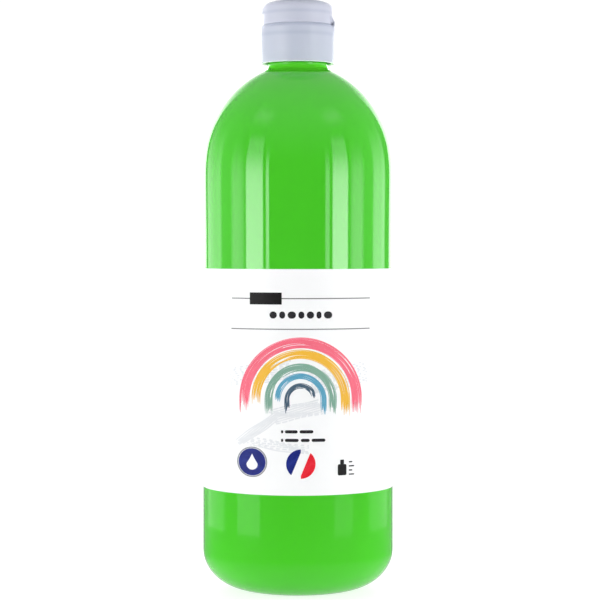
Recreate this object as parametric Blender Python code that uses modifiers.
"""One-litre squeeze bottle of poster paint with a flip-top screw cap.

Frame: metres, +Z up, origin at the centre of the base on the surface it stands on.
The bottle's axis is Z.  The cap's hinge is at +X and its thumb lip at -X.
"""
import math

import bmesh
import bpy

MM = 0.001
GAP = 0.3 * MM  # clearance between pieces that touch

# Bottle: blown clear shell
BODY_R = 40.7 * MM  # widest, at the foot of the shoulder
PANEL_R = 40.4 * MM  # label panel and below
WALL = 0.6 * MM
SHOULDER_Z = 179.0 * MM  # centre height of the shoulder's ellipse
SHOULDER_RISE = 44.5 * MM
SHOULDER_POWER = 1.9  # 2 would be an ellipse; less is a little more pointed
SHOULDER_START = 66.9  # degrees up the shoulder's curve, where the neck's fillet meets it
INNER_START = 64.0  # the same for the inner wall and the paint
PANEL_TOP_Z = 150.0 * MM
CORNER_R = 20.0 * MM  # radius where the base corner runs flat
CORNER_Z = 17.0 * MM  # height where the base corner runs upright
STAND_INNER_R = 17.5 * MM
PUSH_UP = 5.0 * MM
BORE_FOOT_Z = 219.8 * MM  # where the straight bore opens into the shoulder
BORE_FLARE_Z = 219.2 * MM

# Screw neck, 28 mm, six threads to the inch
NECK_R = 12.5 * MM
BORE_R = 10.9 * MM
RIM_Z = 236.9 * MM
NECK_FILLET = 2.2 * MM
NECK_FOOT_Z = 222.4 * MM
PITCH = 25.4 / 6 * MM
THREAD_TURNS = 1.5
THREAD_RADIUS = 1.0 * MM  # half the rounded rib's width
THREAD_TOP_Z = 234.7 * MM
THREAD_OFFSET = 2.1 * MM  # cap rib below the neck rib

# Contents and label
PAINT_TOP_Z = 224.6 * MM
LABEL_LOW_Z = 44.0 * MM
LABEL_HIGH_Z = 136.4 * MM
LABEL_THICK = 0.2 * MM

# Sealing washer
WASHER_THICK = 0.8 * MM
WASHER_R = 13.6 * MM

# Cap
CAP_LOW_Z = 223.1 * MM
SKIRT_R_LOW = 15.35 * MM
SKIRT_R_HIGH = 15.65 * MM
SKIRT_INNER_R = 13.95 * MM
CHAMFER_Z = 238.3 * MM
DECK_Z = 239.5 * MM  # top of the deck
DECK_UNDER_Z = 238.3 * MM
DECK_R = 14.6 * MM
SPOUT_BORE_R = 3.2 * MM
SPOUT_TOP_Z = 243.4 * MM
SNAP_RING_R = 13.1 * MM
SNAP_RING_HEIGHT = 1.2 * MM

LID_R = 14.7 * MM
LID_WALL = 1.2 * MM
LID_LOW_Z = DECK_Z + GAP
LID_SIDE_Z = 246.5 * MM  # top of the lid's upright side
LID_TOP_Z = 249.9 * MM
LID_FLAT_R = 8.7 * MM
LID_DOME = 0.4 * MM
PLUG_ROOT_R = 2.75 * MM
PLUG_TIP_R = 2.2 * MM
PLUG_TIP_Z = 241.0 * MM

# Thumb lip at -X
LIP_REACH = 0.55 * MM
LIP_R = 8.0 * MM
LIP_LOW_Z = 244.2 * MM
LIP_HIGH_Z = 246.6 * MM

# Living hinge at +X, turning about Y
HINGE_X = 15.5 * MM
HINGE_Z = 239.7 * MM
HINGE_CLEAR = 0.75 * MM  # from the hinge line to each lug
LUG_HALF_WIDTH = 5.0 * MM
LUG_HEIGHT = 3.2 * MM
FILM_THICK = 0.4 * MM
FILM_HEIGHT = 0.9 * MM
FILM_WIDTH = 3.0 * MM
FILM_OFFSET = 3.0 * MM  # each film's middle from the hinge's middle

TURN_STEPS = 48
RIB_STEPS_PER_TURN = 20

COLOURS = {
    "bottle_body": ((0.80, 0.90, 0.84), 0.05),
    "paint_fill": ((0.07, 0.58, 0.025), 0.25),
    "wrap_label": ((0.93, 0.93, 0.94), 0.40),
    "seal_washer": ((0.90, 0.90, 0.88), 0.80),
    "cap_base": ((0.55, 0.58, 0.66), 0.35),
    "flip_lid": ((0.58, 0.61, 0.69), 0.35),
    "hinge_film": ((0.60, 0.63, 0.70), 0.35),
}


def clear_scene():
    for ob in list(bpy.data.objects):
        bpy.data.objects.remove(ob, do_unlink=True)


def new_collection(name):
    collection = bpy.data.collections.new(name)
    bpy.context.scene.collection.children.link(collection)
    return collection


def plastic(name):
    colour, roughness = COLOURS[name]
    material = bpy.data.materials.new(name)
    material.use_nodes = True
    shader = material.node_tree.nodes["Principled BSDF"]
    shader.inputs["Base Color"].default_value = (*colour, 1.0)
    shader.inputs["Roughness"].default_value = roughness
    shader.inputs["Metallic"].default_value = 0.0
    return material


def arc(centre, radii, first, last, count):
    """Points (r, z) on an ellipse, from angle first to last in degrees."""
    points = []
    for i in range(count):
        angle = math.radians(first + (last - first) * i / (count - 1))
        points.append((centre[0] + radii[0] * math.cos(angle), centre[1] + radii[1] * math.sin(angle)))
    return points


def settled(ob):
    """A plain mesh of the object as its modifiers leave it."""
    graph = bpy.context.evaluated_depsgraph_get()
    return bpy.data.meshes.new_from_object(ob.evaluated_get(graph))


def turned(name, profile, collection, colour, ring=False):
    """Turns a profile of (r, z) points about Z.  A ring's profile closes on itself."""
    line = bpy.data.meshes.new(name + "_profile")
    edges = [(i, i + 1) for i in range(len(profile) - 1)]
    if ring:
        edges.append((len(profile) - 1, 0))
    line.from_pydata([(r, 0.0, z) for r, z in profile], edges, [])
    ob = bpy.data.objects.new(name, line)
    collection.objects.link(ob)
    screw = ob.modifiers.new("turn", "SCREW")
    screw.axis = "Z"
    screw.angle = math.tau
    screw.steps = TURN_STEPS
    screw.render_steps = TURN_STEPS
    screw.use_merge_vertices = True
    screw.merge_threshold = 1e-6
    bpy.context.view_layer.update()
    mesh = settled(ob)
    ob.modifiers.clear()
    ob.data = mesh
    mesh.name = name
    mesh.materials.clear()
    mesh.materials.append(plastic(colour))
    mesh.shade_smooth()
    mesh.set_sharp_from_angle(angle=math.radians(32))
    return ob


def helper(ob):
    """Marks an object as a guide or cutter that isn't a piece."""
    ob.hide_render = True
    ob.display_type = "WIRE"
    return ob


def closed_mesh_of_curve(curve, name, collection):
    """Makes a curve's tube or outline a closed mesh and removes the curve."""
    bpy.context.view_layer.update()
    mesh = settled(curve)
    work = bmesh.new()
    work.from_mesh(mesh)
    bmesh.ops.remove_doubles(work, verts=work.verts, dist=1e-6)
    bmesh.ops.recalc_face_normals(work, faces=work.faces)
    work.to_mesh(mesh)
    work.free()
    ob = bpy.data.objects.new(name, mesh)
    ob.matrix_world = curve.matrix_world
    collection.objects.link(ob)
    bpy.data.objects.remove(curve, do_unlink=True)
    return helper(ob)


def helical_rib(name, radius, top_z, collection):
    """One rounded thread rib, fading out at both ends, right-handed."""
    count = int(THREAD_TURNS * RIB_STEPS_PER_TURN) + 1
    curve = bpy.data.curves.new(name, "CURVE")
    curve.dimensions = "3D"
    curve.bevel_depth = THREAD_RADIUS
    curve.bevel_resolution = 2
    curve.use_fill_caps = True
    spline = curve.splines.new("POLY")
    spline.points.add(count - 1)
    for i, point in enumerate(spline.points):
        turn = THREAD_TURNS * i / (count - 1)
        angle = math.tau * turn
        z = top_z - PITCH * (THREAD_TURNS - turn)
        point.co = (radius * math.cos(angle), radius * math.sin(angle), z, 1.0)
        point.radius = min(1.0, 0.35 + 0.22 * min(i, count - 1 - i))
    ob = bpy.data.objects.new(name + "_curve", curve)
    collection.objects.link(ob)
    return closed_mesh_of_curve(ob, name, collection)


def join_in(ob, tool):
    union = ob.modifiers.new(tool.name, "BOOLEAN")
    union.operation = "UNION"
    union.solver = "EXACT"
    union.object = tool


def block(name, low, high, collection, slope_at_top=0.0, slope_at_bottom=0.0):
    """A box between two corners.  The slopes pull its +X side in at the top or bottom."""
    work = bmesh.new()
    bmesh.ops.create_cube(work, size=1.0)
    for vert in work.verts:
        part = [c + 0.5 for c in vert.co]
        vert.co = [low[k] + (high[k] - low[k]) * part[k] for k in range(3)]
        if part[0] > 0.5:
            vert.co.x -= slope_at_top if part[2] > 0.5 else slope_at_bottom
    mesh = bpy.data.meshes.new(name)
    work.to_mesh(mesh)
    work.free()
    ob = bpy.data.objects.new(name, mesh)
    collection.objects.link(ob)
    return ob


def shoulder_curve(inset, start, count):
    """Points (r, z) down the shoulder, from start degrees up to its widest ring."""
    points = []
    for i in range(count):
        angle = math.radians(start * (1 - i / (count - 1)))
        radius = (BODY_R - inset) * math.cos(angle) ** (2 / SHOULDER_POWER)
        points.append((radius, SHOULDER_Z + (SHOULDER_RISE - inset) * math.sin(angle)))
    return points


def shell_surface(inset, start, corner_count, shoulder_count):
    """The bottle's outline, inset inwards, from the shoulder down to the base's centre."""
    points = shoulder_curve(inset, start, shoulder_count)
    points.append((PANEL_R - inset, PANEL_TOP_Z))
    side = (PANEL_R - CORNER_R - inset, CORNER_Z - inset)
    points += arc((CORNER_R, CORNER_Z), side, 0, -90, corner_count)
    for radius in (STAND_INNER_R, STAND_INNER_R * 0.86, STAND_INNER_R * 0.5, 0.0):
        rise = PUSH_UP * (1 - (radius / STAND_INNER_R) ** 2)
        points.append((radius, inset + rise))
    return points


def bottle_profile():
    rim = [(BORE_R, RIM_Z), (NECK_R - 0.4 * MM, RIM_Z), (NECK_R, RIM_Z - 0.4 * MM)]
    fillet = arc((NECK_R + NECK_FILLET, NECK_FOOT_Z), (NECK_FILLET, NECK_FILLET), 180, 255, 4)
    outside = rim + fillet + shell_surface(0.0, SHOULDER_START, 8, 9)
    inside = [(BORE_R, BORE_FOOT_Z), (NECK_R, BORE_FLARE_Z)]
    inside += shell_surface(WALL, INNER_START, 6, 6)
    return inside[::-1] + outside


def make_bottle(parts, tools):
    bottle = turned("bottle_body", bottle_profile(), parts, "bottle_body")
    rib = helical_rib("neck_rib", NECK_R + 0.1 * MM, THREAD_TOP_Z, tools)
    join_in(bottle, rib)
    return bottle


def make_paint(parts):
    radius = BORE_R - GAP
    neck = [
        (0.0, PAINT_TOP_Z),
        (radius, PAINT_TOP_Z),
        (radius, BORE_FOOT_Z - GAP),
        (NECK_R - GAP, BORE_FLARE_Z - 0.4 * MM),
    ]
    outline = neck + shell_surface(WALL + GAP, INNER_START, 6, 6)
    return turned("paint_fill", outline, parts, "paint_fill")


def make_label(parts):
    inner = PANEL_R + GAP
    outer = inner + LABEL_THICK
    profile = [(inner, LABEL_HIGH_Z), (outer, LABEL_HIGH_Z), (outer, LABEL_LOW_Z), (inner, LABEL_LOW_Z)]
    return turned("wrap_label", profile, parts, "wrap_label", ring=True)


def make_washer(parts):
    low = RIM_Z + GAP
    high = low + WASHER_THICK
    profile = [(BORE_R, high), (WASHER_R, high), (WASHER_R, low), (BORE_R, low)]
    return turned("seal_washer", profile, parts, "seal_washer", ring=True)


def cap_profile():
    spout = [
        (SPOUT_BORE_R, SPOUT_TOP_Z - 0.4 * MM),
        (SPOUT_BORE_R + 0.4 * MM, SPOUT_TOP_Z),
        (SPOUT_BORE_R + 0.9 * MM, SPOUT_TOP_Z),
        (SPOUT_BORE_R + 1.2 * MM, SPOUT_TOP_Z - 0.5 * MM),
        (SPOUT_BORE_R + 1.7 * MM, DECK_Z),
    ]
    ring_top = DECK_Z + SNAP_RING_HEIGHT
    snap_ring = [
        (SNAP_RING_R - 0.9 * MM, DECK_Z),
        (SNAP_RING_R - 0.8 * MM, ring_top),
        (SNAP_RING_R - 0.2 * MM, ring_top),
        (SNAP_RING_R, DECK_Z),
    ]
    skirt = [
        (DECK_R, DECK_Z),
        (SKIRT_R_HIGH - 0.15 * MM, CHAMFER_Z + 0.15 * MM),
        (SKIRT_R_HIGH, CHAMFER_Z - 0.3 * MM),
        (SKIRT_R_LOW, CAP_LOW_Z + 0.6 * MM),
        (SKIRT_R_LOW - 0.35 * MM, CAP_LOW_Z),
        (SKIRT_INNER_R + 0.4 * MM, CAP_LOW_Z),
        (SKIRT_INNER_R, CAP_LOW_Z + 0.6 * MM),
        (SKIRT_INNER_R, DECK_UNDER_Z),
        (SPOUT_BORE_R, DECK_UNDER_Z),
    ]
    return spout + snap_ring + skirt


def make_cap(parts, tools):
    cap = turned("cap_base", cap_profile(), parts, "cap_base", ring=True)
    rib = helical_rib("cap_rib", SKIRT_INNER_R - 0.1 * MM, THREAD_TOP_Z - THREAD_OFFSET, tools)
    join_in(cap, rib)
    top = HINGE_Z - HINGE_CLEAR
    low = (SKIRT_INNER_R + 0.3 * MM, -LUG_HALF_WIDTH, top - LUG_HEIGHT)
    lug = helper(block("cap_lug", low, (HINGE_X, LUG_HALF_WIDTH, top), tools, slope_at_bottom=0.9 * MM))
    join_in(cap, lug)
    return cap


def lid_profile():
    corner = arc((LID_FLAT_R, LID_SIDE_Z), (LID_R - LID_FLAT_R, LID_TOP_Z - LID_DOME - LID_SIDE_Z), 90, 0, 7)
    outside = [(0.0, LID_TOP_Z)] + corner + [(LID_R, LID_LOW_Z)]
    inner_r = LID_R - LID_WALL
    inner_top = LID_TOP_Z - LID_DOME - LID_WALL
    inside = [(inner_r, LID_LOW_Z)]
    inside += arc((LID_FLAT_R, LID_SIDE_Z), (inner_r - LID_FLAT_R, inner_top - LID_SIDE_Z), 0, 90, 4)
    plug = [
        (PLUG_ROOT_R + 0.5 * MM, inner_top),
        (PLUG_ROOT_R, inner_top - 0.6 * MM),
        (PLUG_TIP_R, PLUG_TIP_Z + 0.5 * MM),
        (PLUG_TIP_R - 0.6 * MM, PLUG_TIP_Z),
        (0.0, PLUG_TIP_Z),
    ]
    return outside + inside + plug


def make_thumb_lip(tools):
    """A crescent that stands out of the lid's side at -X."""
    centre = LIP_R - LID_R - LIP_REACH
    meet = (LID_R**2 + centre**2 - LIP_R**2) / (2 * centre)
    half = math.degrees(math.acos((centre - meet) / LIP_R))
    outer = arc((centre, 0), (LIP_R, LIP_R), 180 - half, 180 + half, 9)
    inner_r = LID_R - 0.5 * LID_WALL
    spread = math.degrees(math.asin(LIP_R * math.sin(math.radians(half)) / LID_R))
    inner = arc((0, 0), (inner_r, inner_r), 180 + spread, 180 - spread, 7)
    curve = bpy.data.curves.new("thumb_lip", "CURVE")
    curve.dimensions = "2D"
    curve.fill_mode = "BOTH"
    curve.extrude = (LIP_HIGH_Z - LIP_LOW_Z) / 2
    spline = curve.splines.new("POLY")
    outline = outer + inner
    spline.points.add(len(outline) - 1)
    for point, (x, y) in zip(spline.points, outline):
        point.co = (x, y, 0.0, 1.0)
    spline.use_cyclic_u = True
    ob = bpy.data.objects.new("thumb_lip_curve", curve)
    ob.location.z = (LIP_HIGH_Z + LIP_LOW_Z) / 2
    tools.objects.link(ob)
    return closed_mesh_of_curve(ob, "thumb_lip", tools)


def make_lid(parts, tools):
    lid = turned("flip_lid", lid_profile(), parts, "flip_lid")
    join_in(lid, make_thumb_lip(tools))
    low_z = HINGE_Z + HINGE_CLEAR
    low = (LID_R - 0.9 * MM, -LUG_HALF_WIDTH, low_z)
    high = (HINGE_X, LUG_HALF_WIDTH, low_z + LUG_HEIGHT)
    lug = helper(block("lid_lug", low, high, tools, slope_at_top=0.85 * MM))
    join_in(lid, lug)
    return lid


def make_hinge_films(parts):
    films = []
    for name, side in (("hinge_film_front", -1), ("hinge_film_back", 1)):
        middle = side * FILM_OFFSET
        low = (HINGE_X - FILM_THICK / 2, middle - FILM_WIDTH / 2, HINGE_Z - FILM_HEIGHT / 2)
        high = (HINGE_X + FILM_THICK / 2, middle + FILM_WIDTH / 2, HINGE_Z + FILM_HEIGHT / 2)
        film = block(name, low, high, parts)
        film.data.materials.append(plastic("hinge_film"))
        films.append(film)
    return films


def axis_empty(name, place, collection, parent=None):
    empty = bpy.data.objects.new(name, None)
    empty.empty_display_size = 5 * MM
    collection.objects.link(empty)
    empty.location = place
    if parent:
        empty.parent = parent
        empty.location = [place[k] - parent.location[k] for k in range(3)]
    return empty


def hang_on(ob, empty, place):
    """Parents a piece to an empty at the given place without moving the piece."""
    ob.parent = empty
    ob.location = [-c for c in place]


def main():
    clear_scene()
    parts = new_collection("paint_bottle")
    tools = new_collection("cutters")
    make_bottle(parts, tools)
    make_paint(parts)
    make_label(parts)
    washer = make_washer(parts)
    cap = make_cap(parts, tools)
    lid = make_lid(parts, tools)
    screw_axis = axis_empty("cap_axis", (0.0, 0.0, 0.0), tools)
    hinge_place = (HINGE_X, 0.0, HINGE_Z)
    hinge_axis = axis_empty("lid_hinge_axis", hinge_place, tools, screw_axis)
    for piece in (washer, cap, *make_hinge_films(parts)):
        hang_on(piece, screw_axis, (0.0, 0.0, 0.0))
    hang_on(lid, hinge_axis, hinge_place)
    bpy.context.view_layer.update()


main()
